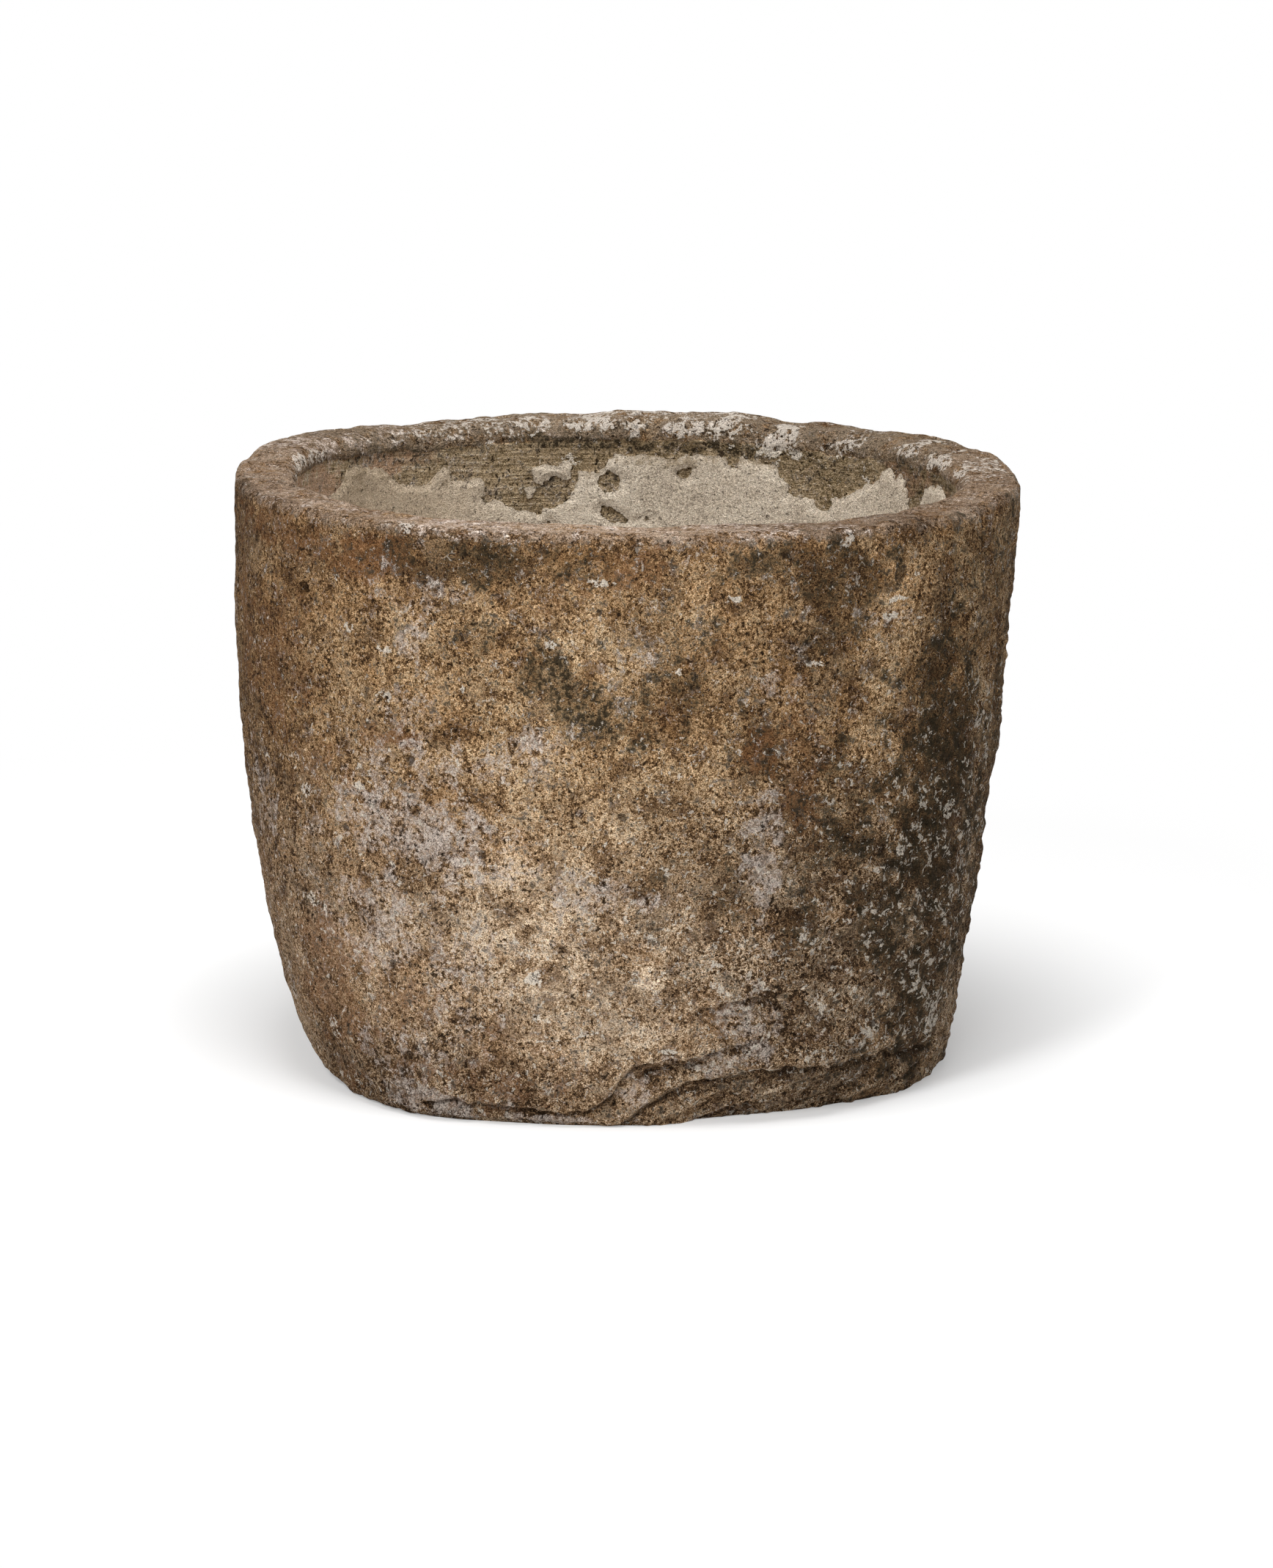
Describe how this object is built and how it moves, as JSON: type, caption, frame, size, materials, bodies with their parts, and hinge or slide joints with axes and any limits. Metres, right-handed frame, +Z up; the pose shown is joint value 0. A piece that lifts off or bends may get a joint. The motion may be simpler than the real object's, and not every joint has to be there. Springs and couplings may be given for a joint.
{
  "type": "limestone trough",
  "caption": "Round-cornered hewn stone trough with a deep tapered hollow, a broken foot and the worn remains of a lime render lining.",
  "frame": {"origin": "middle of the foot's resting face, under the middle of the overall width and depth", "axes": "+Z up, -Y towards the side seen in the picture, +X to that side's right"},
  "size_m": [0.8018, 0.6988, 0.6143],
  "materials": {
    "weathered_limestone": "rough, tan to olive brown, with lime bloom and pits",
    "lime_render": "matt, pale grey beige, sandy"
  },
  "bodies": {
    "root": {"stone_body": "weathered_limestone", "render_lining": "lime_render", "render_remnant_large": "lime_render", "render_remnant_small": "lime_render"}
  },
  "joints": []
}
